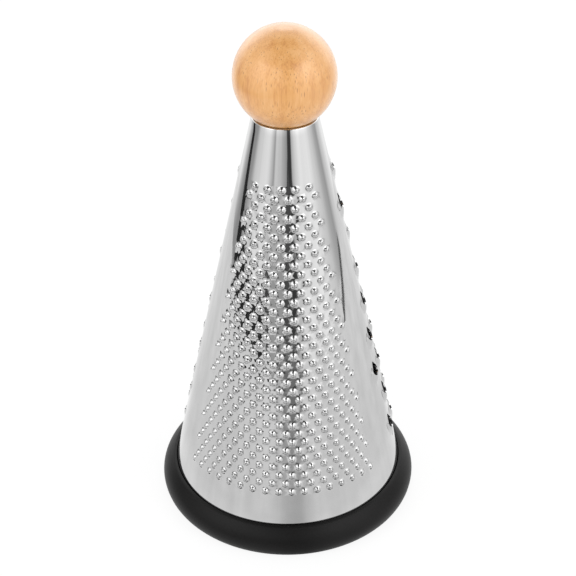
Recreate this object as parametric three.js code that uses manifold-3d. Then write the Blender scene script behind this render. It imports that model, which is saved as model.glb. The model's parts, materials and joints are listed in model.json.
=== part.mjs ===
// Cone grater: a rolled steel cone with three zones of teeth, a wooden ball knob held by a screw from
// inside, and a rubber foot ring. Millimetres, +Z up, origin under the middle of the foot ring.
import * as THREE from 'three';
import { ConvexHull } from 'three/addons/math/ConvexHull.js';
import { mergeVertices } from 'three/addons/utils/BufferGeometryUtils.js';
import Module from 'manifold-3d';

const wasm = await Module();
wasm.setup();

// Cone: one steel sheet, rolled, with its upper edge turned in as a seat for the knob
const coneHeight = 196;
const coneBaseRadius = 58.8;
const coneTopRadius = 14.9;
const sheet = 0.6;
const rimBendRadius = 1.5;
const rimTurnIn = 2.3;

// Teeth: three zones a third of a turn apart, which start at the same height. A strip is what a zone
// leaves bare of its third of the girth
const toothTopMargin = 24.8;
const toothFootMargin = 28.4;
const fineTopStrip = 8.2;
const fineBaseStrip = 2.3;
const fineRowPitch = 4.3;
const fineColumnPitch = 6.2;
const fineDiameter = 4.4;
const fineHeight = 1.3;
const mediumTopStrip = 18.6;
const mediumBaseStrip = 38.6;
const mediumRowPitch = 8.7;
const mediumColumnPitch = 9.4;
const mediumHoleWidth = 2.8;
const mediumHoleLength = 3.6;
const mediumLip = 0.7;
const mediumHood = 3.2;
const coarseTopStrip = 10.2;
const coarseBaseStrip = 23.4;
const coarseRowPitch = 17.4;
const coarseColumnPitch = 12.4;
const coarseHoleWidth = 6.2;
const coarseHoleLength = 7.8;
const coarseLip = 1.5;
const coarseHood = 8;
const hoodFlank = 1.2;
const lipRise = 1.5;

// Foot ring: moulded rubber with a groove that takes the cone's lower edge
const ringOverhang = 4.7;
const ringHeight = 14.8;
const ringWidestHeight = 4;
const ringFootRounding = 1.5;
const ringFloor = 2.7;
const ringTopWall = 1;
const ringInnerWall = 3;
const ringInnerHeight = 9;

// Knob, and the screw fixing that pulls it down on the rim
const ballDiameter = 45;
const screwDiameter = 4.2;
const screwReach = 24;
const headDiameter = 8;
const headHeight = 2.8;
const recessWidth = 1.3;
const recessSpan = 5;
const recessDepth = 1.6;
const washerDiameter = 12;
const washerThickness = 1;
const cupThickness = 1;
const cupFloorRadius = 7.2;
const cupBallGap = 0.8;

// Gap between pieces that bear on each other
const clearance = 0.3;

// Facets of the round forms
const coneSides = 40;
const pipSides = 6;
const coarseSteps = 7;
const mediumSteps = 3;
const hoodTurn = Math.PI / 8;
const bendSteps = 3;
const flareSteps = 4;
const ballSides = 24;
const ballSteps = 11;
const hardwareSides = 20;
const barePitch = 8;
const weld = 1e-3;
const levelNormal = 1e-6;

// The wall is a line: its lean, the apex it points to, and slant distances measured from that apex
const thirdTurn = (2 * Math.PI) / 3;
const lean = Math.atan((coneBaseRadius - coneTopRadius) / coneHeight);
const coneBottom = ringFloor + clearance + sheet * Math.sin(lean);
const coneTop = coneBottom + coneHeight;
const apexHeight = coneTop + coneTopRadius / Math.tan(lean);
const wallRadius = (height) => (apexHeight - height) * Math.tan(lean);
const slantAt = (height) => (apexHeight - height) / Math.cos(lean);
const mouthRadius = coneTopRadius - rimTurnIn;
const bendHeight = coneTop - rimBendRadius;
const bendCentre = [wallRadius(bendHeight) - rimBendRadius / Math.cos(lean), bendHeight];
const slantTop = slantAt(bendHeight + rimBendRadius * Math.sin(lean));
const slantBottom = slantAt(coneBottom);
const slantGrip = slantAt(ringHeight + ringTopWall);
const ringOuterRadius = coneBaseRadius + ringOverhang;

// Rows of teeth lie between these, and a zone has at most a third of the wall's girth
const firstRow = slantAt(coneTop - toothTopMargin);
const lastRow = slantAt(coneBottom + toothFootMargin);
const girthThird = (slant) => thirdTurn * slant * Math.sin(lean);
const hoodWidth = (holeWidth) => holeWidth + 2 * hoodFlank;

// The ball rests on the edge of the mouth
const ballRadius = ballDiameter / 2;
const ballCentre = coneTop + Math.sqrt((ballRadius + clearance) ** 2 - mouthRadius ** 2);
const ballBottom = ballCentre - ballRadius;

// The fixing stacks down from the rim: cup under the turned-in edge, then washer, then screw head
const cupRimTop = coneTop - sheet - clearance;
const cupRimRadius = bendCentre[0];
const cupFloorTop = ballBottom - cupBallGap;
const washerTop = cupFloorTop - cupThickness - clearance;
const headTop = washerTop - washerThickness - clearance;
const shankRadius = screwDiameter / 2;
const boreRadius = shankRadius + clearance;
const shankTop = headTop + screwReach;

function arcPoints(centre, radius, from, to, steps) {
  const points = [];
  for (let i = 0; i <= steps; i += 1) {
    const angle = from + ((to - from) * i) / steps;
    points.push([centre[0] + radius * Math.cos(angle), centre[1] + radius * Math.sin(angle)]);
  }
  return points;
}

// Solids for cutting, and back
function solidFrom(geometry) {
  const bare = geometry.clone();
  bare.deleteAttribute('normal');
  bare.deleteAttribute('uv');
  const welded = mergeVertices(bare, weld);
  const corners = welded.index.array;
  const kept = [];
  for (let i = 0; i < corners.length; i += 3) {
    const [a, b, c] = corners.slice(i, i + 3);
    if (a !== b && b !== c && c !== a) kept.push(a, b, c);
  }
  const vertProperties = welded.attributes.position.array;
  return new wasm.Manifold(new wasm.Mesh({ numProp: 3, vertProperties, triVerts: Uint32Array.from(kept) }));
}

function geometryFrom(solid) {
  const { vertProperties, triVerts } = solid.getMesh();
  const geometry = new THREE.BufferGeometry();
  geometry.setAttribute('position', new THREE.BufferAttribute(vertProperties, 3));
  geometry.setIndex(new THREE.BufferAttribute(triVerts, 1));
  return geometry;
}

// A profile of [radius, height] points turned about the Z axis, in the same facets as the cone's wall
function turned(profile, sides) {
  const points = profile.map(([radius, height]) => new THREE.Vector2(radius, height));
  return new THREE.LatheGeometry(points, sides).rotateX(Math.PI / 2);
}

// Staggered places of one zone: rows run round the cone, and every second row shifts by half a pitch
function zonePlaces({ middle, rowPitch, columnPitch, toothWidth, topStrip, baseStrip, shiftedRow }) {
  const topWidth = girthThird(firstRow) - topStrip;
  const baseWidth = girthThird(lastRow) - baseStrip;
  const places = [];
  for (let row = 0; firstRow + row * rowPitch <= lastRow; row += 1) {
    const slant = firstRow + row * rowPitch;
    const share = (slant - firstRow) / (lastRow - firstRow);
    const room = (topWidth + (baseWidth - topWidth) * share - toothWidth) / 2;
    const shift = row % 2 === shiftedRow ? columnPitch / 2 : 0;
    const reach = Math.floor((room - shift) / columnPitch);
    for (let column = shift ? -reach - 1 : -reach; column <= reach; column += 1) {
      const along = column * columnPitch + shift;
      places.push({ azimuth: middle + along / (slant * Math.sin(lean)), slant });
    }
  }
  return places;
}

function finePlaces() {
  return zonePlaces({
    middle: 0,
    rowPitch: fineRowPitch,
    columnPitch: fineColumnPitch,
    toothWidth: fineDiameter,
    topStrip: fineTopStrip,
    baseStrip: fineBaseStrip,
    shiftedRow: 1,
  });
}

function mediumPlaces() {
  return zonePlaces({
    middle: -thirdTurn,
    rowPitch: mediumRowPitch,
    columnPitch: mediumColumnPitch,
    toothWidth: hoodWidth(mediumHoleWidth),
    topStrip: mediumTopStrip,
    baseStrip: mediumBaseStrip,
    shiftedRow: 1,
  });
}

function coarsePlaces() {
  return zonePlaces({
    middle: thirdTurn,
    rowPitch: coarseRowPitch,
    columnPitch: coarseColumnPitch,
    toothWidth: hoodWidth(coarseHoleWidth),
    topStrip: coarseTopStrip,
    baseStrip: coarseBaseStrip,
    shiftedRow: 0,
  });
}

// A point of the flat blank, x round the cone and y up the slope from a tooth's place
function blankPoint(place, x, y, height) {
  return { azimuth: place.azimuth + x / (place.slant * Math.sin(lean)), slant: place.slant - y, height };
}

function finePip(place) {
  const ring = arcPoints([0, 0], fineDiameter / 2, 0, 2 * Math.PI, pipSides).slice(1);
  return [...ring.map(([x, y]) => blankPoint(place, x, y, 0)), blankPoint(place, 0, 0, fineHeight)];
}

// A shredding hole, round below and pointed at the top. Its edge rises from the point to the cutting lip
function holeOutline(place, width, length, lip, steps) {
  const tip = length - width / 2;
  const round = arcPoints([0, 0], width / 2, -Math.PI, 0, steps);
  const outline = round.map(([x, y]) => blankPoint(place, x, y, lip * ((tip - y) / length) ** lipRise));
  return [...outline, blankPoint(place, 0, tip, 0)];
}

// Where the metal drawn up round a hole runs back into the wall, farthest behind the lip
function hoodOutline(place, width, length, hood, steps) {
  const turn = arcPoints([0, 0], 1, -Math.PI - hoodTurn, hoodTurn, steps);
  return turn.map(([x, y]) => {
    const reach = y < 0 ? width / 2 + hood : length - width / 2;
    return blankPoint(place, (x * hoodWidth(width)) / 2, y * reach, 0);
  });
}

function shreddingTeeth(places, width, length, lip, hood, steps) {
  const pull = (width / 2) ** 2;
  return places.map((place) => ({
    hole: holeOutline(place, width, length, lip, steps).map((point) => ({ ...point, hole: place, pull })),
    hood: hoodOutline(place, width, length, hood, steps - 1),
  }));
}

// Points that carry the bare sheet: its edges, the band that the ring grips, the seam at the back and
// the strips between the zones
function barePoints() {
  const points = [];
  for (let i = 0; i <= coneSides; i += 1) {
    const azimuth = -Math.PI + (2 * Math.PI * i) / coneSides;
    points.push({ azimuth, slant: slantTop, height: 0, top: true });
    points.push({ azimuth, slant: slantGrip, height: 0 });
    points.push({ azimuth, slant: slantBottom, height: 0 });
  }
  const steps = Math.round((slantGrip - slantTop) / barePitch);
  for (let i = 1; i < steps; i += 1) {
    const slant = slantTop + ((slantGrip - slantTop) * i) / steps;
    for (const azimuth of [-Math.PI, -thirdTurn / 2, thirdTurn / 2, Math.PI]) {
      points.push({ azimuth, slant, height: 0 });
    }
  }
  return points;
}

// Points that carry the inner face behind the fine zone, which stays smooth there
function smoothPoints() {
  const places = zonePlaces({
    middle: 0,
    rowPitch: 2 * barePitch,
    columnPitch: barePitch,
    toothWidth: 0,
    topStrip: fineTopStrip,
    baseStrip: fineBaseStrip,
    shiftedRow: 1,
  });
  return places.map((place) => ({ ...place, height: 0 }));
}

// Triangles of the blank laid flat: the lower hull of its points lifted on to a paraboloid. The outlines
// of holes are pulled a little below it, so that edges follow them whatever stands near
function laidTriangles(points) {
  const middle = (slantTop + slantBottom) / 2;
  const lifted = points.map(({ azimuth, slant, pull = 0 }, index) => {
    const fan = azimuth * Math.sin(lean);
    const corner = new THREE.Vector3(slant * Math.cos(fan) - middle, slant * Math.sin(fan), 0);
    corner.z = (corner.lengthSq() - pull) / middle;
    corner.index = index;
    return corner;
  });
  const triangles = [];
  for (const { normal, edge } of new ConvexHull().setFromPoints(lifted).faces) {
    const corners = [edge.head(), edge.tail(), edge.prev.tail()].map((vertex) => points[vertex.point.index]);
    const outside = normal.z > -levelNormal || corners.every((corner) => corner.top);
    const open = corners[0].hole && corners.every((corner) => corner.hole === corners[0].hole);
    if (!outside && !open) triangles.push(corners);
  }
  return triangles;
}

// The blank rolled up: a point's place on the cone, at a depth below the outer face
function rolled({ azimuth, slant, height }, depth) {
  const radius = slant * Math.sin(lean) + (height - depth) * Math.cos(lean);
  const angle = azimuth - Math.PI / 2;
  const z = apexHeight - slant * Math.cos(lean) + (height - depth) * Math.sin(lean);
  return [radius * Math.cos(angle), radius * Math.sin(angle), z];
}

// The turned-in rim and the plain lower edge: strips between profile points, all round
function edgeStrip(profile) {
  const strip = [];
  for (let i = 0; i < coneSides; i += 1) {
    const angles = [i, i + 1].map((step) => -1.5 * Math.PI + (2 * Math.PI * step) / coneSides);
    const [here, next] = angles.map((a) => profile.map(([r, z]) => [r * Math.cos(a), r * Math.sin(a), z]));
    for (let k = 0; k + 1 < profile.length; k += 1) {
      strip.push(here[k], next[k], next[k + 1], here[k], next[k + 1], here[k + 1]);
    }
  }
  return strip;
}

function rimProfile() {
  return [
    ...arcPoints(bendCentre, rimBendRadius, lean, Math.PI / 2, bendSteps),
    [mouthRadius, coneTop],
    [mouthRadius, coneTop - sheet],
    ...arcPoints(bendCentre, rimBendRadius - sheet, Math.PI / 2, lean, bendSteps),
  ];
}

function footProfile() {
  const inward = sheet * Math.cos(lean);
  return [[coneBaseRadius - inward, coneBottom - sheet * Math.sin(lean)], [coneBaseRadius, coneBottom]];
}

function graterCone() {
  const coarse = coarsePlaces();
  const medium = mediumPlaces();
  const teeth = [
    ...shreddingTeeth(coarse, coarseHoleWidth, coarseHoleLength, coarseLip, coarseHood, coarseSteps),
    ...shreddingTeeth(medium, mediumHoleWidth, mediumHoleLength, mediumLip, mediumHood, mediumSteps),
  ];
  const drawn = [...barePoints(), ...teeth.flatMap((tooth) => [...tooth.hole, ...tooth.hood])];
  const corners = [];
  for (const [a, b, c] of laidTriangles([...drawn, ...finePlaces().flatMap(finePip)])) {
    corners.push(rolled(a, 0), rolled(b, 0), rolled(c, 0));
  }
  for (const [a, b, c] of laidTriangles([...drawn, ...smoothPoints()])) {
    corners.push(rolled(a, sheet), rolled(c, sheet), rolled(b, sheet));
  }
  for (const { hole } of teeth) {
    hole.forEach((point, i) => {
      const next = hole[(i + 1) % hole.length];
      const [a, b, c, d] = [rolled(point, 0), rolled(next, 0), rolled(next, sheet), rolled(point, sheet)];
      corners.push(a, b, c, a, c, d);
    });
  }
  corners.push(...edgeStrip(rimProfile()), ...edgeStrip(footProfile()));
  const geometry = new THREE.BufferGeometry();
  geometry.setAttribute('position', new THREE.Float32BufferAttribute(corners.flat(), 3));
  return mergeVertices(geometry, weld);
}

// Wooden ball with a blind bore for the screw
function ballKnob() {
  const boreTop = shankTop + clearance;
  const boreEdge = Math.asin(boreRadius / ballRadius) - Math.PI / 2;
  const round = arcPoints([0, ballCentre], ballRadius, boreEdge, Math.PI / 2, ballSteps);
  const top = [0, ballCentre + ballRadius];
  return turned([[0, boreTop], [boreRadius, boreTop], ...round.slice(0, -1), top], ballSides);
}

// Pressed cup: a rim that bears under the turned-in edge, and a floor that clears the ball
function clampCup() {
  const shoulder = mouthRadius - cupThickness;
  return turned([
    [boreRadius, cupFloorTop - cupThickness],
    [cupFloorRadius, cupFloorTop - cupThickness],
    [shoulder + cupThickness / 2, cupRimTop - cupThickness],
    [cupRimRadius, cupRimTop - cupThickness],
    [cupRimRadius, cupRimTop],
    [shoulder, cupRimTop],
    [cupFloorRadius - cupThickness / 2, cupFloorTop],
    [boreRadius, cupFloorTop],
    [boreRadius, cupFloorTop - cupThickness],
  ], hardwareSides);
}

function screwWasher() {
  const rim = washerDiameter / 2;
  const under = washerTop - washerThickness;
  const section = [[boreRadius, under], [rim, under], [rim, washerTop], [boreRadius, washerTop]];
  return turned([...section, section[0]], hardwareSides);
}

// Pan-head screw with a cross recess, pointing up into the ball
function knobScrew() {
  const headRadius = headDiameter / 2;
  const headBottom = headTop - headHeight;
  const screw = turned([
    [0, headBottom],
    [headRadius - headHeight / 3, headBottom],
    [headRadius, headBottom + headHeight / 3],
    [headRadius, headTop],
    [shankRadius, headTop],
    [shankRadius, shankTop - screwDiameter],
    [0, shankTop],
  ], hardwareSides);
  const slot = new THREE.BoxGeometry(recessSpan, recessWidth, 2 * recessDepth).translate(0, 0, headBottom);
  const cross = slot.clone().rotateZ(Math.PI / 2);
  return geometryFrom(solidFrom(screw).subtract(solidFrom(slot)).subtract(solidFrom(cross)));
}

// Rubber ring: flared skirt outside, groove for the cone's edge, low lip inside
function footRing() {
  const outside = (height) => wallRadius(height) + clearance / Math.cos(lean);
  const inside = (height) => wallRadius(height) - (sheet + clearance) / Math.cos(lean);
  const foot = new THREE.EllipseCurve(
    ringOuterRadius - ringFootRounding, ringWidestHeight, ringFootRounding, ringWidestHeight, -Math.PI / 2, 0,
  );
  const flare = new THREE.QuadraticBezierCurve(
    new THREE.Vector2(ringOuterRadius, ringWidestHeight),
    new THREE.Vector2(ringOuterRadius, (ringWidestHeight + ringHeight) / 2),
    new THREE.Vector2(outside(ringHeight) + ringTopWall, ringHeight),
  );
  const skirt = [...foot.getPoints(flareSteps / 2), ...flare.getPoints(flareSteps).slice(1)];
  const innerFoot = [inside(ringFloor) - ringInnerWall, 0];
  return turned([
    innerFoot,
    ...skirt.map((point) => [point.x, point.y]),
    [outside(ringHeight), ringHeight],
    [outside(ringFloor), ringFloor],
    [inside(ringFloor), ringFloor],
    [inside(ringInnerHeight), ringInnerHeight],
    [inside(ringInnerHeight) - ringInnerWall / 2, ringInnerHeight],
    [innerFoot[0], ringInnerHeight - ringInnerWall],
    innerFoot,
  ], coneSides);
}

const polishedSteel = { color: 0xcfd2d6, roughness: 0.2, metalness: 1 };
const pressedSteel = { color: 0xb4b8bc, roughness: 0.4, metalness: 1 };
const varnishedBeech = { color: 0xd8a070, roughness: 0.35, metalness: 0 };
const blackRubber = { color: 0x2b2b2c, roughness: 0.75, metalness: 0 };

const grater = new THREE.Group();
function addPart(name, geometry, finish) {
  const mesh = new THREE.Mesh(geometry, new THREE.MeshStandardMaterial(finish));
  mesh.name = name;
  grater.add(mesh);
}

addPart('grater_cone', graterCone(), polishedSteel);
addPart('ball_knob', ballKnob(), varnishedBeech);
addPart('clamp_cup', clampCup(), pressedSteel);
addPart('screw_washer', screwWasher(), pressedSteel);
addPart('knob_screw', knobScrew(), pressedSteel);
addPart('foot_ring', footRing(), blackRubber);

export default grater;
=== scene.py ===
# Cone grater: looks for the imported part, in metres, +Z up, fine teeth towards -Y
import json
import math

import bmesh
import bpy
import numpy as np
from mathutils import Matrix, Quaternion, Vector
from mathutils.geometry import delaunay_2d_cdt

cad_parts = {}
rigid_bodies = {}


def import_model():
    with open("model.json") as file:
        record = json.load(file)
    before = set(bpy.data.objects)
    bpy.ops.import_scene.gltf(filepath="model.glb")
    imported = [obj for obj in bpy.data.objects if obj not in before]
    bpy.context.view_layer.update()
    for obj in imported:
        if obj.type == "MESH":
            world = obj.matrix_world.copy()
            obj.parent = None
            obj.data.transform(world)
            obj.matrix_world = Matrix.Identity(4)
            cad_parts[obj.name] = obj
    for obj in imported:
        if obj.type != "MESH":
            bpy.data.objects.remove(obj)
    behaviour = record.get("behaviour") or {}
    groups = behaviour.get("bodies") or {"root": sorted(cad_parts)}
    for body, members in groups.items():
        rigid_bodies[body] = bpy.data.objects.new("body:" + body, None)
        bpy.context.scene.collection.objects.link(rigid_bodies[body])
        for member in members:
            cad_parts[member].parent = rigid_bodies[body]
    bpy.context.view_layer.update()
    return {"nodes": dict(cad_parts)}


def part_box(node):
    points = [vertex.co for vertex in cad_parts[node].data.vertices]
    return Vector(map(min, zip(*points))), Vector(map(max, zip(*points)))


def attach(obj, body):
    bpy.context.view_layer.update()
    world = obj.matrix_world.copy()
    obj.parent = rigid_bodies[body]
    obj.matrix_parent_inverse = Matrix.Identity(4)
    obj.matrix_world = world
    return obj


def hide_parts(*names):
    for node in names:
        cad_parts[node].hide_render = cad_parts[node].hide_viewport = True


mm = 0.001
mergeGap = 1e-6  # metres, points nearer than this are one
thirdTurn = 2 * math.pi / 3

bpy.ops.object.select_all(action="SELECT")
bpy.ops.object.delete()
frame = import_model()
bpy.ops.object.select_all(action="DESELECT")
print("frame loaded:", sorted(frame["nodes"]))


# Helpers

def hexColor(text):  # sRGB hex to linear RGBA
    parts = [int(text[i:i + 2], 16) / 255 for i in (1, 3, 5)]
    return [p / 12.92 if p <= 0.04045 else ((p + 0.055) / 1.055) ** 2.4 for p in parts] + [1]


def addNode(tree, kind, values=None, links=None, **settings):
    node = tree.nodes.new(kind)
    for name, value in settings.items():
        setattr(node, name, value)
    for socket, value in (values or {}).items():
        node.inputs[socket].default_value = value
    for socket, source in (links or {}).items():
        tree.links.new(source, node.inputs[socket])
    return node


def newMaterial(name):
    material = bpy.data.materials.new(name)
    material.use_nodes = True
    material.node_tree.nodes.clear()
    return material, material.node_tree


def pickOnly(obj):
    bpy.ops.object.select_all(action="DESELECT")
    obj.select_set(True)
    bpy.context.view_layer.objects.active = obj


def meshObject(name, points, faces, edges=()):
    mesh = bpy.data.meshes.new(name)
    mesh.from_pydata(points, edges, faces)
    obj = bpy.data.objects.new(name, mesh)
    bpy.context.scene.collection.objects.link(obj)
    pickOnly(obj)
    return obj


def turnedPiece(name, profile, steps):  # a closed section of (radius, height) spun about the Z axis
    edges = [(i, (i + 1) % len(profile)) for i in range(len(profile))]
    obj = meshObject(name, [(r, 0, z) for r, z in profile], [], edges)
    bpy.ops.object.mode_set(mode="EDIT")
    bpy.ops.mesh.select_all(action="SELECT")
    bpy.ops.mesh.spin(steps=steps, angle=2 * math.pi, center=(0, 0, 0), axis=(0, 0, 1))
    bpy.ops.mesh.select_all(action="SELECT")
    bpy.ops.mesh.remove_doubles(threshold=mergeGap)
    bpy.ops.mesh.normals_make_consistent(inside=False)
    bpy.ops.object.mode_set(mode="OBJECT")
    return obj


def finishPiece(obj, node, material, smoothAngle):
    obj.data.materials.clear()
    obj.data.materials.append(material)
    pickOnly(obj)
    bpy.ops.object.shade_smooth_by_angle(angle=smoothAngle)
    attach(obj, "root")
    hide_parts(node)
    print("piece:", obj.name, len(obj.data.polygons), "faces")


# Stainless sheet, rolled and polished: a clear mirror with faint rolling streaks up the slope

steelLook = dict(
    color="#cecece",
    band="#c6c6c6",           # faint darker bands up the slope
    bandWidth=5,              # mm
    bandLength=160,           # mm
    bandRange=(0.35, 0.65),   # noise values between which one colour turns into the other
    roughness=(0.03, 0.09),
    roughRange=(0.12, 0.42),  # noise values between which the roughness rises
    streakWidth=0.7,          # mm, across a polishing streak
    streakLength=40,          # mm, along it
    streakDepth=0.002,        # mm
    streakStrength=0.05,
    smearSize=22,             # mm, cloudy patches that handling leaves
    girthShare=0.6,           # of the foot's radius, where bands and streaks are as wide as named
)


def makePolishedSteel():
    look = steelLook
    material, tree = newMaterial("polished stainless steel")
    place = addNode(tree, "ShaderNodeTexCoord")
    apart = addNode(tree, "ShaderNodeSeparateXYZ", links={0: place.outputs["Object"]})
    turn = addNode(tree, "ShaderNodeMath", operation="ARCTAN2",
                   links={0: apart.outputs["X"], 1: apart.outputs["Y"]})
    unrolled = addNode(tree, "ShaderNodeCombineXYZ",
                       links={"X": turn.outputs[0], "Z": apart.outputs["Z"]})
    girth = coneLook["baseRadius"] * look["girthShare"] * mm
    stretch = addNode(tree, "ShaderNodeMapping", links={"Vector": unrolled.outputs[0]},
                      values={"Scale": (girth / (look["streakWidth"] * mm), 1,
                                        1 / (look["streakLength"] * mm))})
    streaks = addNode(tree, "ShaderNodeTexNoise", values={"Scale": 1, "Detail": 3},
                      links={"Vector": stretch.outputs[0]})
    smears = addNode(tree, "ShaderNodeTexNoise",
                     values={"Scale": 1 / (look["smearSize"] * mm), "Detail": 2},
                     links={"Vector": place.outputs["Object"]})
    both = addNode(tree, "ShaderNodeMath", operation="MULTIPLY",
                   links={0: streaks.outputs[0], 1: smears.outputs[0]})
    rough = addNode(tree, "ShaderNodeMapRange", links={"Value": both.outputs[0]},
                    values={"From Min": look["roughRange"][0], "From Max": look["roughRange"][1],
                            "To Min": look["roughness"][0], "To Max": look["roughness"][1]})
    bump = addNode(tree, "ShaderNodeBump", links={"Height": streaks.outputs[0]},
                   values={"Strength": look["streakStrength"], "Distance": look["streakDepth"] * mm})
    widen = addNode(tree, "ShaderNodeMapping", links={"Vector": unrolled.outputs[0]},
                    values={"Scale": (girth / (look["bandWidth"] * mm), 1, 1 / (look["bandLength"] * mm))})
    bands = addNode(tree, "ShaderNodeTexNoise", values={"Scale": 1, "Detail": 2},
                    links={"Vector": widen.outputs[0]})
    banding = addNode(tree, "ShaderNodeMapRange", links={"Value": bands.outputs[0]},
                      values={"From Min": look["bandRange"][0], "From Max": look["bandRange"][1]})
    banded = addNode(tree, "ShaderNodeMixRGB", links={"Fac": banding.outputs[0]},
                     values={"Color1": hexColor(look["color"]), "Color2": hexColor(look["band"])})
    shader = addNode(tree, "ShaderNodeBsdfPrincipled", values={"Metallic": 1},
                     links={"Base Color": banded.outputs[0], "Roughness": rough.outputs[0],
                            "Normal": bump.outputs[0]})
    addNode(tree, "ShaderNodeOutputMaterial", links={"Surface": shader.outputs[0]})
    return material


# Cone: one sheet. Teeth are drawn on the flat blank, then the blank is rolled and its rim turned in

coneLook = dict(          # mm
    baseRadius=58.8,
    topRadius=14.9,
    sheet=0.6,
    rimBend=0.6,
    rimLift=1.2,          # the rim reaches this far above the solid's, up to the ball's side
    seatGap=0.12,         # between the rim and the ball
    toothTopMargin=24.8,
    toothFootMargin=28.4,
    columns=144,          # wall points round the cone
    wallPitch=3.0,        # between rows of wall points
    bendSteps=6,
    clearOfTeeth=0.45,    # wall points keep this far from a tooth
    seamWidth=0.9,        # welded seam at the back
    seamDepth=0.1,
    seamReach=0.51,       # share of that width, from its middle, that takes in both its edges
    samePoint=1e-5,       # points of the blank nearer than this are one
    leastFace=1e-3,       # square mm, slivers along the blank's straight edges are left out
    onSurface=0.02,       # a point this near the smooth wall takes the wall's own normal
    smoothAngle=math.radians(42),
)

# Zones of teeth, in mm and radians. Each fills a third of the wall less a plain strip, topStrip wide at
# its first row and baseStrip wide at its last. Every second row, from shiftedRow on, moves half a pitch
fineTeeth = dict(
    middle=0, rise=0, rowPitch=4.3, columnPitch=6.2, toothWidth=4.4,
    topStrip=8.2, baseStrip=2.3, shiftedRow=1, sides=8,
    rings=(2.25, 1.9, 1.5, 1.0, 0.32),  # radii, from the foot up to the small hole
    bead=(1.2, 1.3, 3.4),               # height, width and steepness of the punched bead
    skirt=(0.05, 2.0, 2),               # and of the sheet drawn up round it
    reach=6.0,                          # farther out a pip leaves the wall as it is
)
mediumTeeth = dict(
    middle=-thirdTurn, rise=0, rowPitch=8.7, columnPitch=9.4, toothWidth=5.2,
    topStrip=18.6, baseStrip=38.6, shiftedRow=1, sides=14, rings=4,
    holeWidth=2.8, holeLength=3.6, lip=0.7, hood=3.2, flank=1.2,
)
coarseTeeth = dict(
    middle=thirdTurn, rise=2, rowPitch=17.6, columnPitch=12.4, toothWidth=8.6,
    topStrip=10.2, baseStrip=23.4, shiftedRow=0, sides=24, rings=6,
    holeWidth=6.2, holeLength=7.8, lip=1.5, hood=8, flank=1.2,
)
shredderLook = dict(      # what medium and coarse teeth share
    cornerShift=0.25,     # in sides, so that no corner lies on a tooth's middle line
    tipMargin=0.6,        # mm of drawn-up sheet beyond the hole's tip
    edgeCurve=1.5,        # how the cutting edge rises from that tip
    hoodCurve=0.85,       # how the hood falls from the cutting edge to the wall
)

coneLow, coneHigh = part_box("grater_cone")
coneTop = coneHigh.z / mm
sheet = coneLook["sheet"]
# The wall's lean follows from its two radii, first over the whole height and then over its outer face
wallFoot = coneLow.z / mm
lean = math.atan((coneLook["baseRadius"] - coneLook["topRadius"]) / (coneTop - wallFoot))
wallFoot += sheet * math.sin(lean)
lean = math.atan((coneLook["baseRadius"] - coneLook["topRadius"]) / (coneTop - wallFoot))
apexHeight = coneTop + coneLook["topRadius"] / math.tan(lean)


def slantAt(height):  # distance from the apex down the wall
    return (apexHeight - height) / math.cos(lean)


def girthThird(slant):
    return thirdTurn * slant * math.sin(lean)


ballLow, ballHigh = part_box("ball_knob")
ballRadius = (ballHigh.x - ballLow.x) / 2 / mm
ballCentre = ballHigh.z / mm - ballRadius
rimTop = coneTop + coneLook["rimLift"]
mouthRadius = math.sqrt(ballRadius ** 2 - (ballCentre - rimTop) ** 2) + coneLook["seatGap"]
bendHeight = rimTop - coneLook["rimBend"]
bendRadius = (apexHeight - bendHeight) * math.tan(lean) - coneLook["rimBend"] / math.cos(lean)
slantTop = slantAt(bendHeight + coneLook["rimBend"] * math.sin(lean))
slantBottom = slantAt(wallFoot)
bendLength = coneLook["rimBend"] * (math.pi / 2 - lean)
turnLength = bendRadius - mouthRadius
slantMouth = slantTop - bendLength - turnLength
firstRow = slantAt(coneTop - coneLook["toothTopMargin"])
lastRow = slantAt(wallFoot + coneLook["toothFootMargin"])


def toothPlaces(teeth):  # (azimuth, slant) of every tooth in a zone
    topWidth = girthThird(firstRow) - teeth["topStrip"]
    baseWidth = girthThird(lastRow) - teeth["baseStrip"]
    places = []
    row = 0
    while firstRow - teeth["rise"] + row * teeth["rowPitch"] <= lastRow:
        slant = firstRow - teeth["rise"] + row * teeth["rowPitch"]
        share = (slant - firstRow) / (lastRow - firstRow)
        room = (topWidth + (baseWidth - topWidth) * share - teeth["toothWidth"]) / 2
        shift = teeth["columnPitch"] / 2 if row % 2 == teeth["shiftedRow"] else 0
        reach = math.floor((room - shift) / teeth["columnPitch"])
        for column in range(-reach - 1 if shift else -reach, reach + 1):
            along = column * teeth["columnPitch"] + shift
            places.append((teeth["middle"] + along / (slant * math.sin(lean)), slant))
        row += 1
    return places


def onBlank(azimuth, slant):  # place on the flat fan that the cone unrolls to
    fan = azimuth * math.sin(lean)
    return (slant * math.cos(fan), slant * math.sin(fan))


def rolled(azimuth, slant, height):  # place on the cone, in metres
    if slant >= slantTop:
        radius = slant * math.sin(lean) + height * math.cos(lean)
        z = apexHeight - slant * math.cos(lean) + height * math.sin(lean)
    elif slantTop - slant <= bendLength:
        angle = lean + (slantTop - slant) / coneLook["rimBend"]
        radius = bendRadius + coneLook["rimBend"] * math.cos(angle)
        z = bendHeight + coneLook["rimBend"] * math.sin(angle)
    else:
        radius = bendRadius - (slantTop - slant - bendLength)
        z = rimTop
    angle = azimuth - math.pi / 2
    return (radius * math.cos(angle) * mm, radius * math.sin(angle) * mm, z * mm)


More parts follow.
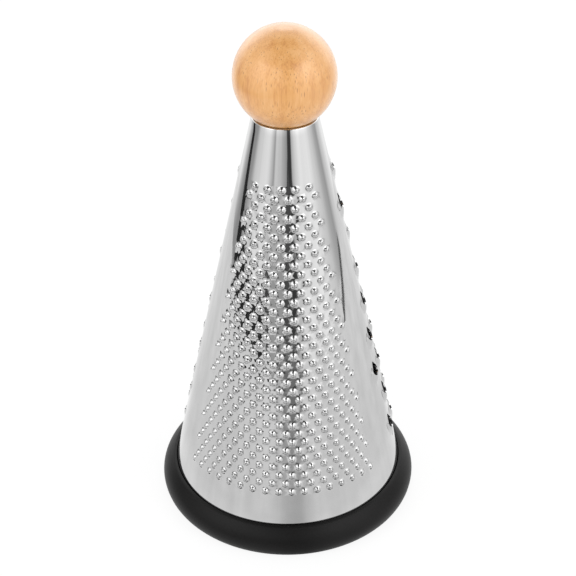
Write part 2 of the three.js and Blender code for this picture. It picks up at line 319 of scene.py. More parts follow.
def pipField(azimuths, slants):  # how high the fine pips lift the wall, and the slopes round and up it
    height, around, upward = np.zeros((3, len(azimuths)))
    for azimuth, slant in toothPlaces(fineTeeth):
        x = (azimuths - azimuth) * slants * math.sin(lean)
        y = slant - slants
        near = np.nonzero(np.hypot(x, y) < fineTeeth["reach"])[0]
        x, y = x[near], y[near]
        r = np.hypot(x, y) + 1e-9  # never quite zero
        for high, wide, power in (fineTeeth["bead"], fineTeeth["skirt"]):
            part = high * np.exp(-(r / wide) ** power)
            slope = -part * power * (r / wide) ** power / r
            height[near] += part
            around[near] += slope * x / r
            upward[near] += slope * y / r
    return height, around, upward


def pipPoints():  # rings of a punched pip, every second one turned by half a side
    turns = [2 * math.pi * i / fineTeeth["sides"] for i in range(fineTeeth["sides"])]
    half = math.pi / fineTeeth["sides"]
    return [[(radius * math.cos(a + k % 2 * half), radius * math.sin(a + k % 2 * half), 0) for a in turns]
            for k, radius in enumerate(fineTeeth["rings"])]


def shredderPoints(teeth):  # rings of a drawn-up tooth, from the foot of its hood in to its teardrop hole
    look = shredderLook
    half = teeth["holeWidth"] / 2
    tip = teeth["holeLength"] - half
    hoodHalf = half + teeth["flank"]
    hoodReach = half + teeth["hood"]
    rings = []
    for k in reversed(range(teeth["rings"])):
        share = k / (teeth["rings"] - 1)
        fall = (0.5 + 0.5 * math.cos(math.pi * share)) ** look["hoodCurve"]
        ring = []
        for i in range(teeth["sides"]):
            angle = 2 * math.pi * (i + look["cornerShift"]) / teeth["sides"]
            c, s = math.cos(angle), math.sin(angle)
            holeReach = half if s <= 0 else 1 / (abs(c) / half + s / tip)
            edge = max(0, (tip - holeReach * s) / teeth["holeLength"]) ** look["edgeCurve"] * teeth["lip"]
            outer = 1 / math.hypot(c / hoodHalf, s / (hoodReach if s <= 0 else tip + look["tipMargin"]))
            reach = holeReach + (outer - holeReach) * share
            ring.append((reach * c, reach * s, edge * fall))
        rings.append(ring)
    return rings


def inOutline(outline, spot, margin):  # inside a tooth's star-shaped outline, or within a margin of it
    offset = outline - spot
    after = np.roll(outline, -1, axis=0) - spot
    cross = offset[:, 0] * after[:, 1] - offset[:, 1] * after[:, 0]
    if (cross > 0).all() or (cross < 0).all():
        return True
    return np.hypot(offset[:, 0], offset[:, 1]).min() < margin


def coneMesh():  # rolled points, their spots on the blank, its triangles and the outlines of its holes
    laid, spots, edges, footprints, holes = [], [], [], [], []

    def addPoint(azimuth, slant, height):
        laid.append((azimuth, slant, height))
        spots.append(onBlank(azimuth, slant))

    for teeth, rings in ((fineTeeth, pipPoints()), (mediumTeeth, shredderPoints(mediumTeeth)),
                         (coarseTeeth, shredderPoints(coarseTeeth))):
        for azimuth, slant in toothPlaces(teeth):
            outlines = []
            for ring in rings:
                first = len(laid)
                for x, y, height in ring:
                    addPoint(azimuth + x / (slant * math.sin(lean)), slant - y, height)
                outlines.append(np.array(spots[first:]))
            sides = len(outlines[-1])
            edges.extend((first + i, first + (i + 1) % sides) for i in range(sides))  # the hole's edge
            footprints.append(outlines[0])
            holes.append(outlines[-1])

    centres = np.array([f.mean(0) for f in footprints])
    reaches = np.array([np.linalg.norm(f - f.mean(0), axis=1).max() for f in footprints])

    def isClear(spot):
        near = np.nonzero(np.hypot(*(centres - spot).T) < reaches + coneLook["clearOfTeeth"])[0]
        return not any(inOutline(footprints[i], spot, coneLook["clearOfTeeth"]) for i in near)

    bendSteps = coneLook["bendSteps"]
    wallRows = round((slantBottom - slantTop) / coneLook["wallPitch"])
    rows = [slantTop - bendLength - turnLength * t for t in (1, 0.5, 0)]
    rows += [slantTop - bendLength * (1 - (k + 1) / bendSteps) for k in range(bendSteps)]
    rows += [slantTop + (slantBottom - slantTop) * (k + 1) / wallRows for k in range(wallRows)]
    for slant in rows:
        for i in range(1, coneLook["columns"]):
            azimuth = -math.pi + 2 * math.pi * i / coneLook["columns"]
            if isClear(np.array(onBlank(azimuth, slant))):
                addPoint(azimuth, slant, 0)
        beside = math.pi - coneLook["seamWidth"] / 2 / (slant * math.sin(lean))
        for side in (-1, 1):
            addPoint(side * beside, slant, 0)
            addPoint(side * math.pi, slant, -coneLook["seamDepth"])

    azimuths, slants, heights = np.array(laid).T
    heights = heights + pipField(azimuths, slants)[0]
    points = [rolled(*place) for place in zip(azimuths, slants, heights)]
    faces = delaunay_2d_cdt([Vector(s) for s in spots], edges, [], 0, coneLook["samePoint"])[2]
    print("blank laid out:", len(points), "points,", len(faces), "triangles")
    return points, spots, faces, holes


def smoothWall(mesh, sheetFaces):  # exact normals on the outer face, so that wall and pips mirror cleanly
    places = np.empty(len(mesh.vertices) * 3)
    mesh.vertices.foreach_get("co", places)
    x, y, z = places.reshape(-1, 3).T / mm
    radii, drops = np.hypot(x, y), apexHeight - z
    azimuths = np.arctan2(x, -y)
    slants = radii * math.sin(lean) + drops * math.cos(lean)
    heights = radii * math.cos(lean) - drops * math.sin(lean)
    field, around, upward = pipField(azimuths, slants)
    smooth = (slants > slantTop) & (np.abs(heights - field) < coneLook["onSurface"])
    outward = math.cos(lean) + upward * math.sin(lean)
    across, level = np.sin(azimuths), -np.cos(azimuths)
    normals = np.stack((across * outward - around * np.cos(azimuths),
                        level * outward - around * np.sin(azimuths),
                        math.sin(lean) - upward * math.cos(lean)), axis=1)
    normals /= np.linalg.norm(normals, axis=1)[:, None]
    normals[~smooth] = 0  # zero leaves a normal as it is
    corners = np.empty(len(mesh.loops), dtype=int)
    mesh.loops.foreach_get("vertex_index", corners)
    chosen = normals[corners]
    chosen[sheetFaces * 2 * 3:] = 0  # the cut edges come after the triangles of the sheet's two faces
    facing = np.empty(len(mesh.polygons) * 3)
    mesh.polygons.foreach_get("normal", facing)
    outer = corners[:sheetFaces * 3].reshape(-1, 3)
    fromSeam = np.abs(np.abs(azimuths) - math.pi) * slants * math.sin(lean)
    beside = (fromSeam < coneLook["seamWidth"] * coneLook["seamReach"])[outer].all(1)
    seam = np.nonzero(beside & (slants > slantTop)[outer].all(1))[0]
    for k in range(3):
        chosen[seam * 3 + k] = facing.reshape(-1, 3)[seam]  # the seam's two slopes stay flat
    mesh.normals_split_custom_set(chosen.tolist())


def makeCone(material):
    points, spots, faces, holes = coneMesh()
    corners = np.array(spots)[np.array(faces)]
    middles = corners.mean(1)
    one, two = corners[:, 1] - corners[:, 0], corners[:, 2] - corners[:, 0]
    areas = np.abs(one[:, 0] * two[:, 1] - one[:, 1] * two[:, 0]) / 2
    kept = (np.hypot(*middles.T) > slantMouth) & (areas > coneLook["leastFace"])
    for hole in holes:
        centre = hole.mean(0)
        reach = np.linalg.norm(hole - centre, axis=1).max()
        for i in np.nonzero(np.hypot(*(middles - centre).T) < reach)[0]:
            if inOutline(hole, middles[i], 0):
                kept[i] = False
    obj = meshObject("grater_wall", points, [face for face, keep in zip(faces, kept) if keep])
    bpy.ops.object.mode_set(mode="EDIT")
    bpy.ops.mesh.select_all(action="SELECT")
    bpy.ops.mesh.remove_doubles(threshold=mergeGap)  # closes the rolled sheet at its seam
    bpy.ops.mesh.normals_make_consistent(inside=False)
    bpy.ops.object.mode_set(mode="OBJECT")
    sheetFaces = len(obj.data.polygons)
    wall = obj.modifiers.new("sheet", "SOLIDIFY")
    wall.thickness = sheet * mm
    wall.offset = -1
    bpy.ops.object.modifier_apply(modifier=wall.name)
    finishPiece(obj, "grater_cone", material, coneLook["smoothAngle"])
    smoothWall(obj.data, sheetFaces)


# Beech, turned and varnished: warm tan with upright grain, short dark pores and a soft clear coat

beechLook = dict(
    pale="#e5b176",
    mid="#d99d58",
    dark="#bd7c42",
    pore="#8a5228",
    driftSize=14,            # mm, broad lighter and darker patches
    driftShare=0.6,          # weight of these patches beside the growth bands
    bandWidth=3.2,           # mm across the growth bands
    bandLength=60,           # mm along them
    grainWidth=0.55,         # mm across the fine fibres
    grainLength=22,          # mm along them
    grainShare=1.1,          # weight of the fibres beside the growth bands
    toneRange=(0.85, 1.85),  # summed noise from dark to pale
    midAt=0.45,              # share of that range where the middle tone stands
    poreWidth=0.34,          # mm, drawn a little coarse so that they show
    poreLength=2.6,          # mm
    poreScale=0.42,          # cells in such a length, so pores stand apart
    poreEdge=(0.12, 0.32),   # share of a cell where a pore starts to fade, and where it ends
    poreShade=0.7,
    poreRange=(0.42, 0.62),  # band noise between which pores crowd
    poreStrength=0.2,
    poreDepth=0.1,           # mm
    roughness=0.4,
    ior=1.5,
    coat=1,
    coatRoughness=0.24,
)


def makeBeech():
    look = beechLook
    material, tree = newMaterial("varnished beech")
    place = addNode(tree, "ShaderNodeTexCoord").outputs["Object"]

    def upright(wide, long):  # a space drawn out along the grain, which stands upright
        return addNode(tree, "ShaderNodeMapping", links={"Vector": place},
                       values={"Scale": (1 / (wide * mm), 1 / (wide * mm), 1 / (long * mm))}).outputs[0]

    fibre = addNode(tree, "ShaderNodeTexNoise", values={"Scale": 1, "Detail": 3, "Roughness": 0.6},
                    links={"Vector": upright(look["grainWidth"], look["grainLength"])})
    band = addNode(tree, "ShaderNodeTexNoise", values={"Scale": 1, "Detail": 2},
                   links={"Vector": upright(look["bandWidth"], look["bandLength"])})
    drift = addNode(tree, "ShaderNodeTexNoise", values={"Scale": 1 / (look["driftSize"] * mm), "Detail": 2},
                    links={"Vector": place})
    fine = addNode(tree, "ShaderNodeMath", operation="MULTIPLY_ADD", values={1: look["grainShare"]},
                   links={0: fibre.outputs[0], 2: band.outputs[0]})
    whole = addNode(tree, "ShaderNodeMath", operation="MULTIPLY_ADD", values={1: look["driftShare"]},
                    links={0: drift.outputs[0], 2: fine.outputs[0]})
    tone = addNode(tree, "ShaderNodeMapRange", links={"Value": whole.outputs[0]},
                   values={"From Min": look["toneRange"][0], "From Max": look["toneRange"][1]})
    color = addNode(tree, "ShaderNodeValToRGB", links={"Fac": tone.outputs[0]})
    ramp = color.color_ramp
    ramp.elements[0].color = hexColor(look["dark"])
    ramp.elements[1].color = hexColor(look["pale"])
    ramp.elements.new(look["midAt"]).color = hexColor(look["mid"])
    pores = addNode(tree, "ShaderNodeTexVoronoi", values={"Scale": look["poreScale"], "Randomness": 1},
                    links={"Vector": upright(look["poreWidth"], look["poreLength"])})
    pore = addNode(tree, "ShaderNodeMapRange", links={"Value": pores.outputs["Distance"]},
                   values={"From Min": look["poreEdge"][0], "From Max": look["poreEdge"][1],
                           "To Min": look["poreShade"], "To Max": 0})
    crowd = addNode(tree, "ShaderNodeMapRange", links={"Value": band.outputs[0]},
                    values={"From Min": look["poreRange"][0], "From Max": look["poreRange"][1]})
    seen = addNode(tree, "ShaderNodeMath", operation="MULTIPLY",
                   links={0: pore.outputs[0], 1: crowd.outputs[0]})
    colored = addNode(tree, "ShaderNodeMixRGB", values={"Color2": hexColor(look["pore"])},
                      links={"Fac": seen.outputs[0], "Color1": color.outputs[0]})
    bump = addNode(tree, "ShaderNodeBump", invert=True, links={"Height": seen.outputs[0]},
                   values={"Strength": look["poreStrength"], "Distance": look["poreDepth"] * mm})
    shader = addNode(tree, "ShaderNodeBsdfPrincipled",
                     values={"Roughness": look["roughness"], "IOR": look["ior"],
                             "Coat Weight": look["coat"], "Coat Roughness": look["coatRoughness"]},
                     links={"Base Color": colored.outputs[0], "Normal": bump.outputs[0]})
    addNode(tree, "ShaderNodeOutputMaterial", links={"Surface": shader.outputs[0]})
    return material


knobLook = dict(
    segments=72,
    boreRadius=2.4,      # mm
    boreTop=216.5,       # mm above the table
    poleShare=0.99999,   # a point lower than this share of the radius is the ball's lower pole
    smoothAngle=math.radians(50),
)


def makeKnob(material):
    radius, centre = ballRadius * mm, ballCentre * mm
    ringCount = round(math.pi / math.asin(knobLook["boreRadius"] * mm / radius))
    bpy.ops.mesh.primitive_uv_sphere_add(segments=knobLook["segments"], ring_count=ringCount, radius=radius)
    obj = bpy.context.active_object
    obj.name = "wooden_ball"
    bpy.ops.object.mode_set(mode="EDIT")
    bpy.ops.mesh.select_mode(type="FACE")
    bpy.ops.mesh.select_all(action="DESELECT")
    shape = bmesh.from_edit_mesh(obj.data)
    for face in shape.faces:  # the faces round the lower pole, where the screw goes in
        face.select = any(v.co.z < -radius * knobLook["poleShare"] for v in face.verts)
    bmesh.update_edit_mesh(obj.data)
    rise = knobLook["boreTop"] * mm - (centre - radius)
    bpy.ops.mesh.extrude_region_move(TRANSFORM_OT_translate={"value": (0, 0, rise)})
    bpy.ops.mesh.select_all(action="SELECT")
    bpy.ops.transform.translate(value=(0, 0, centre))
    bpy.ops.object.mode_set(mode="OBJECT")
    finishPiece(obj, "ball_knob", material, knobLook["smoothAngle"])


# Moulded rubber: soft black, a dull sheen, a fine moulded grain and a little dust

rubberLook = dict(
    color="#090909",
    dusty="#0f0e0e",
    dustSize=14,         # mm
    roughness=0.42,
    specular=0.2,
    grain=0.5,           # mm
    grainDepth=0.03,     # mm
    grainStrength=0.25,
)


def makeRubber():
    look = rubberLook
    material, tree = newMaterial("moulded rubber")
    place = addNode(tree, "ShaderNodeTexCoord")
    grain = addNode(tree, "ShaderNodeTexNoise", values={"Scale": 1 / (look["grain"] * mm), "Detail": 2},
                    links={"Vector": place.outputs["Object"]})
    dust = addNode(tree, "ShaderNodeTexNoise", values={"Scale": 1 / (look["dustSize"] * mm), "Detail": 4},
                   links={"Vector": place.outputs["Object"]})
    tint = addNode(tree, "ShaderNodeMixRGB",
                   values={"Color1": hexColor(look["color"]), "Color2": hexColor(look["dusty"])},
                   links={"Fac": dust.outputs[0]})
    bump = addNode(tree, "ShaderNodeBump", links={"Height": grain.outputs[0]},
                   values={"Strength": look["grainStrength"], "Distance": look["grainDepth"] * mm})
    shader = addNode(tree, "ShaderNodeBsdfPrincipled",
                     values={"Roughness": look["roughness"], "Specular IOR Level": look["specular"]},
                     links={"Base Color": tint.outputs[0], "Normal": bump.outputs[0]})
    addNode(tree, "ShaderNodeOutputMaterial", links={"Surface": shader.outputs[0]})
    return material


ringLook = dict(        # mm
    widestHeight=5.4, footRounding=3.2, floor=2.7, topWall=1, innerWall=3, innerHeight=9, gap=0.3,
    steps=144, footSteps=8, flareSteps=14, lipSteps=6,
    smoothAngle=math.radians(40),
)


def makeRing(material):
    _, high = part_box("foot_ring")
    look = ringLook
    outer, height = high.x / mm, high.z / mm
    widest = look["widestHeight"]

    def outside(z):
        return (apexHeight - z) * math.tan(lean) + look["gap"] / math.cos(lean)

    def inside(z):
        return (apexHeight - z) * math.tan(lean) - (sheet + look["gap"]) / math.cos(lean)

    section = []
    for k in range(look["footSteps"] + 1):  # foot rounding, a quarter of an ellipse
        angle = -math.pi / 2 + math.pi / 2 * k / look["footSteps"]
        section.append((outer - look["footRounding"] * (1 - math.cos(angle)),
                        widest * (1 + math.sin(angle))))
    topEdge = outside(height) + look["topWall"]
    for k in range(1, look["flareSteps"] + 1):  # flare, from the widest place up to the thin top edge
        t = k / look["flareSteps"]
        radius = outer * (1 - t) ** 2 + outer * 2 * t * (1 - t) + topEdge * t ** 2
        z = widest * (1 - t) ** 2 + (widest + height) * t * (1 - t) + height * t ** 2
        section.append((radius, z))
    section += [(outside(height), height), (outside(look["floor"]), look["floor"]),
                (inside(look["floor"]), look["floor"]), (inside(look["innerHeight"]), look["innerHeight"])]
    foot = inside(look["floor"]) - look["innerWall"]
    lip = inside(look["innerHeight"]) - look["innerWall"] / 2
    for k in range(look["lipSteps"] + 1):  # inner lip, eased over
        angle = math.pi / 2 + math.pi / 2 * k / look["lipSteps"]
        section.append((lip + (lip - foot) * math.cos(angle),
                        look["innerHeight"] - look["innerWall"] * (1 - math.sin(angle))))
    section.append((foot, 0))
    obj = turnedPiece("foot_ring_rubber", [(r * mm, z * mm) for r, z in section], look["steps"])
    finishPiece(obj, "foot_ring", material, look["smoothAngle"])


# Pressed and plated steel inside: duller than the cone, with a light brushed haze

platedLook = dict(
    color="#b9bcbf",
    roughness=(0.28, 0.42),
    haze=2.5,              # mm
    hazeRange=(0.3, 0.7),  # noise values between which the roughness rises
)


def makePlatedSteel():
    look = platedLook
    material, tree = newMaterial("plated pressed steel")
    place = addNode(tree, "ShaderNodeTexCoord")
    haze = addNode(tree, "ShaderNodeTexNoise", values={"Scale": 1 / (look["haze"] * mm), "Detail": 4},
                   links={"Vector": place.outputs["Object"]})
    rough = addNode(tree, "ShaderNodeMapRange", links={"Value": haze.outputs[0]},
                    values={"From Min": look["hazeRange"][0], "From Max": look["hazeRange"][1],
                            "To Min": look["roughness"][0], "To Max": look["roughness"][1]})
    shader = addNode(tree, "ShaderNodeBsdfPrincipled",
                     values={"Base Color": hexColor(look["color"]), "Metallic": 1},
                     links={"Roughness": rough.outputs[0]})
    addNode(tree, "ShaderNodeOutputMaterial", links={"Surface": shader.outputs[0]})
    return material


polishedSteel = makePolishedSteel()
platedSteel = makePlatedSteel()
makeCone(polishedSteel)
makeKnob(makeBeech())
makeRing(makeRubber())
for nodeName in ("clamp_cup", "screw_washer", "knob_screw"):
    frame["nodes"][nodeName].data.materials.clear()
    frame["nodes"][nodeName].data.materials.append(platedSteel)
print("pieces made")


# Stage: white table, white surroundings and soft lamps, with a studio that only reflections show

cameraAzimuth = math.radians(5)  # the camera stands a little to the right of the fine teeth's middle

stageLook = dict(             # metres
    ambient=0.84,             # level of the surroundings for plain surfaces
    tableSize=6.0,
    tableDrop=0.0003,         # the table lies this far under the foot ring
    tableColor="#f4f4f4",
    tableGlow=0.85,           # share of plain glow near the grater, where the rest keeps its shadow
    whiteFrom=0.44,           # from here on out that share grows to all
    whiteTo=0.75,
    shelter=0.058,            # radius that the grater keeps dark under itself
    eyeLevel=1.03,            # level of the glow for the camera
    mirrored=((0.06, 1.08), (0.092, 1.05), (0.112, 0.94),
              (0.17, 0.96), (0.34, 1.04)),  # reach from the axis, and level of the glow in the steel, which paints light and shade on the table round the grater
    frontShade=((-16, 0), (-7, 0.35), (-1, 0.9), (3, 1), (9, 1),
            (14, 0.5), (22, 0)),  # degrees from the camera's side, and share of a painted shade on the table in front, which only the steel mirrors
    frontShadeNear=(0.12, 0.58),  # reach and level of that painted shade, at its near end
    frontShadeFar=(0.36, 0.1),    # and at its far end
    cloudSize=0.035,          # painted soft shade, noise that dims the table's glow in the steel at random
    cloudRange=(0.3, 0.7),    # noise values from its darkest to its palest
    cloudDepth=0.12,
)


def whiteForEye(tree):  # 1 for camera, glossy and transmission rays
    path = addNode(tree, "ShaderNodeLightPath")
    first = addNode(tree, "ShaderNodeMath", operation="MAXIMUM",
                    links={0: path.outputs["Is Camera Ray"], 1: path.outputs["Is Glossy Ray"]})
    return addNode(tree, "ShaderNodeMath", operation="MAXIMUM",
                   links={0: first.outputs[0], 1: path.outputs["Is Transmission Ray"]})


def setRamp(node, stops):  # a colour ramp of plain levels
    elements = node.color_ramp.elements
    while len(elements) > 1:
        elements.remove(elements[-1])
    elements[0].position = stops[0][0]
    for place, _ in stops[1:]:
        elements.new(place)
    for element, (_, level) in zip(elements, stops):
        element.color = (level, level, level, 1)


def setAzimuthRamp(node, stops):  # the same, for stops in degrees from the camera's side
    setRamp(node, [(azimuth / 360 + 0.5, level) for azimuth, level in stops])


def azimuthShare(tree, place):  # 0 to 1 once round, with the camera's side at a half
    apart = addNode(tree, "ShaderNodeSeparateXYZ", links={0: place})
    front = addNode(tree, "ShaderNodeMath", operation="MULTIPLY", values={1: -1},
                    links={0: apart.outputs["Y"]})
    around = addNode(tree, "ShaderNodeMath", operation="ARCTAN2",
                     links={0: apart.outputs["X"], 1: front.outputs[0]})
    turned = addNode(tree, "ShaderNodeMath", operation="SUBTRACT", values={1: cameraAzimuth},
                     links={0: around.outputs[0]})
    wrapped = addNode(tree, "ShaderNodeMath", operation="WRAP", values={1: math.pi, 2: -math.pi},
                      links={0: turned.outputs[0]})
    share = addNode(tree, "ShaderNodeMapRange", values={"From Min": -math.pi, "From Max": math.pi},
                    links={"Value": wrapped.outputs[0]})
    return share.outputs[0]


def makeSurroundings():
    world = bpy.data.worlds.new("studio")
    bpy.context.scene.world = world
    world.use_nodes = True
    tree = world.node_tree
    tree.nodes.clear()
    eye = whiteForEye(tree)
    plain = addNode(tree, "ShaderNodeBackground",
                    values={"Color": (1, 1, 1, 1), "Strength": stageLook["ambient"]})
    white = addNode(tree, "ShaderNodeBackground", values={"Color": (1, 1, 1, 1), "Strength": 1})
    chosen = addNode(tree, "ShaderNodeMixShader",
                     links={0: eye.outputs[0], 1: plain.outputs[0], 2: white.outputs[0]})
    addNode(tree, "ShaderNodeOutputWorld", links={"Surface": chosen.outputs[0]})


def makeTable():
    look = stageLook
    bpy.ops.mesh.primitive_plane_add(size=look["tableSize"], location=(0, 0, -look["tableDrop"]))
    table = bpy.context.active_object
    table.name = "table"
    material, tree = newMaterial("white table")
    eye = whiteForEye(tree)
    place = addNode(tree, "ShaderNodeTexCoord").outputs["Object"]
    reach = addNode(tree, "ShaderNodeVectorMath", operation="LENGTH", links={0: place}).outputs["Value"]
    # How much of what the eye sees is glow
    uncovered = addNode(tree, "ShaderNodeMath", operation="GREATER_THAN", values={1: look["shelter"]},
                        links={0: reach})
    lit = addNode(tree, "ShaderNodeMath", operation="MULTIPLY",
                  links={0: eye.outputs[0], 1: uncovered.outputs[0]})
    white = addNode(tree, "ShaderNodeMapRange", links={"Value": reach},
                    values={"From Min": look["whiteFrom"], "From Max": look["whiteTo"],
                            "To Min": look["tableGlow"], "To Max": 1})
    share = addNode(tree, "ShaderNodeMath", operation="MULTIPLY",
                    links={0: lit.outputs[0], 1: white.outputs[0]})
    # How bright that glow is, in the steel and to the camera
    # Painted light and shade of the table by reach, as the steel mirrors it
    fade = addNode(tree, "ShaderNodeValToRGB", links={"Fac": reach})
    setRamp(fade, look["mirrored"])
    # Painted shade: a darker band on the table in front of the grater, which only the steel mirrors
    front = addNode(tree, "ShaderNodeValToRGB", links={"Fac": azimuthShare(tree, place)})
    setAzimuthRamp(front, look["frontShade"])
    dark = addNode(tree, "ShaderNodeMapRange", links={"Value": reach},
                   values={"From Min": look["frontShadeNear"][0], "From Max": look["frontShadeFar"][0],
                           "To Min": look["frontShadeNear"][1], "To Max": look["frontShadeFar"][1]})
    ground = addNode(tree, "ShaderNodeMixRGB",
                     links={"Fac": front.outputs[0], "Color1": fade.outputs[0], "Color2": dark.outputs[0]})
    # Painted soft shade: noise dims the glow that the steel mirrors
    cloud = addNode(tree, "ShaderNodeTexNoise", values={"Scale": 1 / look["cloudSize"], "Detail": 2},
                    links={"Vector": place})
    dim = addNode(tree, "ShaderNodeMapRange", links={"Value": cloud.outputs[0]},
                  values={"From Min": look["cloudRange"][0], "From Max": look["cloudRange"][1],
                          "To Min": 1 - look["cloudDepth"], "To Max": 1})
    mirrored = addNode(tree, "ShaderNodeMath", operation="MULTIPLY",
                       links={0: ground.outputs[0], 1: dim.outputs[0]})
    path = addNode(tree, "ShaderNodeLightPath")
    level = addNode(tree, "ShaderNodeMapRange", values={"To Max": look["eyeLevel"]},
                    links={"Value": path.outputs["Is Camera Ray"], "To Min": mirrored.outputs[0]})
    glow = addNode(tree, "ShaderNodeEmission", values={"Color": (1, 1, 1, 1)},
                   links={"Strength": level.outputs[0]})
    matt = addNode(tree, "ShaderNodeBsdfDiffuse", values={"Color": hexColor(look["tableColor"])})
    chosen = addNode(tree, "ShaderNodeMixShader",
                     links={0: share.outputs[0], 1: matt.outputs[0], 2: glow.outputs[0]})
    addNode(tree, "ShaderNodeOutputMaterial", links={"Surface": chosen.outputs[0]})
    table.data.materials.append(material)


def onlyReflected(obj):
    obj.visible_camera = False
    obj.visible_diffuse = False
    obj.visible_transmission = False
    obj.visible_shadow = False


def plainGlow(name, level):
    material, tree = newMaterial(name)
    glow = addNode(tree, "ShaderNodeEmission", values={"Color": (1, 1, 1, 1), "Strength": level})
    addNode(tree, "ShaderNodeOutputMaterial", links={"Surface": glow.outputs[0]})
    return material


# A round screen for the polished steel to mirror: soft boxes left and right, with dark gaps between them.
# Azimuth in degrees from the camera's side, to the right, and the level the steel sees there
screenLook = dict(
    radius=0.47,
    height=0.62,
    sides=128,
    lowLevel=1.0,          # strength of the tones up to brightFrom
    highLevel=1.75,        # and from brightTo up
    brightFrom=0.16,
    brightTo=0.34,
    ceiling=0.9,
    ceilingSides=64,
    ceilingOverhang=0.01,  # past the screen
    tones=((-180, 1.0), (-138, 1.15), (-122, 0.6), (-112, 0.4), (-92, 0.45), (-82, 0.85), (-58, 1.2),
           (-42, 1.1), (-33, 0.75), (-29, 0.5), (-25, 0.95), (-12, 0.8), (0, 0.5), (4, 0.45), (6, 0.06),
           (14.5, 0.06), (17, 0.7), (27, 1.05), (40, 1.28), (60, 1.25), (80, 1.0), (94, 0.65), (106, 0.5),
           (116, 0.9), (140, 1.2), (180, 1.0)),
)


def makeScreen():
    look = screenLook
    bpy.ops.mesh.primitive_cylinder_add(vertices=look["sides"], radius=look["radius"], depth=look["height"],
                                        end_fill_type="NOTHING", location=(0, 0, look["height"] / 2))
    bpy.ops.object.transform_apply(location=True)
    screen = bpy.context.active_object
    screen.name = "studio_screen"
    material, tree = newMaterial("soft boxes")
    place = addNode(tree, "ShaderNodeTexCoord").outputs["Object"]
    apart = addNode(tree, "ShaderNodeSeparateXYZ", links={0: place})
    tone = addNode(tree, "ShaderNodeValToRGB", links={"Fac": azimuthShare(tree, place)})
    setAzimuthRamp(tone, look["tones"])
    rise = addNode(tree, "ShaderNodeMapRange", interpolation_type="SMOOTHSTEP",
                   links={"Value": apart.outputs["Z"]},
                   values={"From Min": look["brightFrom"], "From Max": look["brightTo"],
                           "To Min": look["lowLevel"], "To Max": look["highLevel"]})
    glow = addNode(tree, "ShaderNodeEmission",
                   links={"Color": tone.outputs[0], "Strength": rise.outputs[0]})
    addNode(tree, "ShaderNodeOutputMaterial", links={"Surface": glow.outputs[0]})
    screen.data.materials.append(material)
    onlyReflected(screen)
    bpy.ops.mesh.primitive_circle_add(vertices=look["ceilingSides"], fill_type="NGON",
                                      radius=look["radius"] + look["ceilingOverhang"],
                                      location=(0, 0, look["height"]))
    ceiling = bpy.context.active_object
    ceiling.name = "studio_ceiling"
    ceiling.data.materials.append(plainGlow("dim ceiling", look["ceiling"]))
    onlyReflected(ceiling)


# What hangs inside the screen, in degrees and metres: dark and grey strips, each between two
# (azimuth, radius, height) ends, dark panels under the ceiling, and bright windows
strips = (
    dict(name="left_edge", start=(-92, 0.462, 0.0), end=(-118, 0.462, 0.15), width=0.064, level=0.03),
    dict(name="left_foot", start=(-99, 0.462, 0.029), end=(-27, 0.462, 0.018), width=0.058, level=0.03),
    dict(name="left_post", start=(-29, 0.46, 0.0), end=(-34, 0.46, 0.07), width=0.06, level=0.08),
    dict(name="front_low", start=(-26, 0.459, 0.07), end=(5, 0.459, 0.07), width=0.14, level=0.65),
    dict(name="front_foot", start=(-23, 0.457, 0.05), end=(5, 0.457, 0.05), width=0.1, level=0.48),
    dict(name="front_lean", start=(-2, 0.4545, 0.0), end=(8, 0.4545, 0.16), width=0.07, level=0.1),
    dict(name="front_base", start=(-15, 0.4535, 0.014), end=(13, 0.4535, 0.014), width=0.032, level=0.22),
    dict(name="front_high", start=(-3, 0.456, 0.49), end=(23, 0.456, 0.49), width=0.26, level=0.04),
    dict(name="right_foot", start=(88, 0.372, 0.003), end=(110, 0.466, 0.008), width=0.018, level=0.08),
)
panels = (
    dict(name="front_ceiling", azimuths=(-45, 45), radii=(0.15, 0.46), height=0.61, level=0.05),
    dict(name="middle_ceiling", azimuths=(-180, 180), radii=(0, 0.2), height=0.612, level=0.05),
)
windows = (
    dict(name="left_box", azimuth=-53, radius=0.45, height=0.53, width=0.2, tall=0.17, level=3.0),
    dict(name="right_box", azimuth=51, radius=0.45, height=0.53, width=0.2, tall=0.17, level=3.0),
    dict(name="back_box", azimuth=180, radius=0.45, height=0.57, width=0.16, tall=0.08, level=5),
)
stripSteps = 16
stripNudge = 1e-3  # share of a strip's run that gives its direction
panelSteps = 12


def ringPoint(azimuth, radius, height):
    angle = math.radians(azimuth) + cameraAzimuth
    return Vector((math.sin(angle) * radius, -math.cos(angle) * radius, height))


def hangUp(name, points, faces, kind, level):
    obj = meshObject(name, points, faces)
    obj.data.materials.append(plainGlow(name + " " + kind, level))
    onlyReflected(obj)


def makeStrips():
    for strip in strips:
        start, end = strip["start"], strip["end"]
        points = []
        for i in range(stripSteps + 1):
            azimuth, radius, height = (a + (b - a) * i / stripSteps for a, b in zip(start, end))
            here = ringPoint(azimuth, radius, height)
            along = ringPoint(azimuth + (end[0] - start[0]) * stripNudge, radius,
                              height + (end[2] - start[2]) * stripNudge) - here
            across = along.cross(Vector((here.x, here.y, 0))).normalized() * strip["width"] / 2
            points += [here - across, here + across]
        faces = [(2 * i, 2 * i + 1, 2 * i + 3, 2 * i + 2) for i in range(stripSteps)]
        hangUp(strip["name"], points, faces, "cloth", strip["level"])


def makePanels():
    for panel in panels:
        left, right = panel["azimuths"]
        points = [ringPoint(left + (right - left) * i / panelSteps, radius, panel["height"])
                  for i in range(panelSteps + 1) for radius in panel["radii"]]
        faces = [(2 * i, 2 * i + 1, 2 * i + 3, 2 * i + 2) for i in range(panelSteps)]
        hangUp(panel["name"], points, faces, "cloth", panel["level"])


def makeWindows():
    for window in windows:
        middle = ringPoint(window["azimuth"], window["radius"], window["height"])
        across = middle.cross(Vector((0, 0, 1))).normalized() * window["width"] / 2
        upward = Vector((0, 0, window["tall"] / 2))
        points = [middle - across - upward, middle + across - upward,
                  middle + across + upward, middle - across + upward]
        hangUp(window["name"], points, [(0, 1, 2, 3)], "light", window["level"])


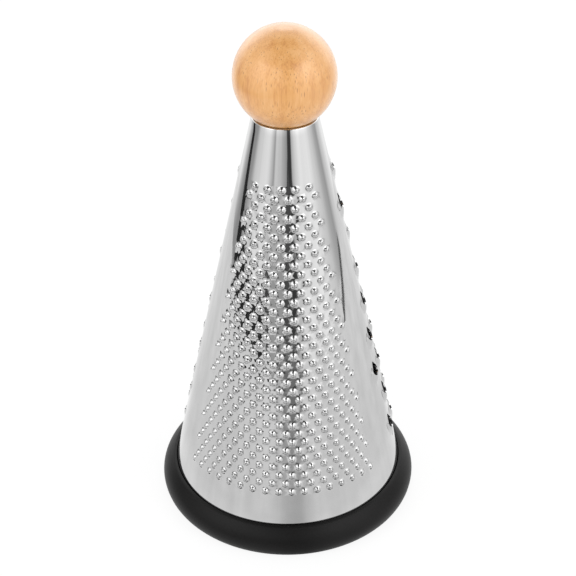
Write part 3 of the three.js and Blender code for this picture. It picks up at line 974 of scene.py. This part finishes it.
lamps = (
    dict(name="left_window", azimuth=-60, elevation=20, distance=1.6, size=(0.7, 0.7), power=7.6),
    dict(name="right_window", azimuth=58, elevation=20, distance=1.6, size=(0.7, 0.7), power=7.6),
    dict(name="back_top", azimuth=180, elevation=50, distance=1.6, size=(1.0, 0.6), power=3),
)
lampTarget = Vector((0, 0, 0.12))  # half way up the grater


def makeLamps():
    for lamp in lamps:
        data = bpy.data.lights.new(lamp["name"], "AREA")
        data.shape = "RECTANGLE"
        data.size, data.size_y = lamp["size"]
        data.energy = lamp["power"]
        obj = bpy.data.objects.new(lamp["name"], data)
        bpy.context.scene.collection.objects.link(obj)
        lift = math.radians(lamp["elevation"])
        out = ringPoint(lamp["azimuth"], math.cos(lift), math.sin(lift))
        obj.location = lampTarget + out * lamp["distance"]
        obj.rotation_euler = (-out).to_track_quat("-Z", "Y").to_euler()
        obj.visible_glossy = False  # the screen is what the steel mirrors


cameraLook = dict(
    distance=0.4885,      # metres from the cone's axis, level
    height=0.4276,        # metres above the table
    pitch=0.574,          # radians down
    roll=0.008,
    framePixels=576,      # width of the frame
    focalPixels=1241.5,   # focal length in that frame
    axisPixel=286.39,     # where the cone's axis stands in it
    sensor=36,            # mm
    clipStart=0.01,
)


def makeCamera():
    look = cameraLook
    data = bpy.data.cameras.new("camera")
    data.sensor_width = look["sensor"]
    data.lens = look["focalPixels"] / look["framePixels"] * look["sensor"]
    data.shift_x = (look["framePixels"] / 2 - look["axisPixel"]) / look["framePixels"]
    data.clip_start = look["clipStart"]
    obj = bpy.data.objects.new("camera", data)
    bpy.context.scene.collection.objects.link(obj)
    obj.location = ringPoint(0, look["distance"], look["height"])
    obj.rotation_mode = "XYZ"
    aim = -ringPoint(0, math.cos(look["pitch"]), math.sin(look["pitch"]))
    turn = Quaternion(aim, look["roll"]) @ aim.to_track_quat("-Z", "Y")
    obj.rotation_euler = turn.to_euler()
    bpy.context.scene.camera = obj


makeSurroundings()
makeTable()
makeScreen()
makeStrips()
makePanels()
makeWindows()
makeLamps()
makeCamera()
bpy.context.scene.view_settings.view_transform = "Standard"
print("stage, lamps and camera set")
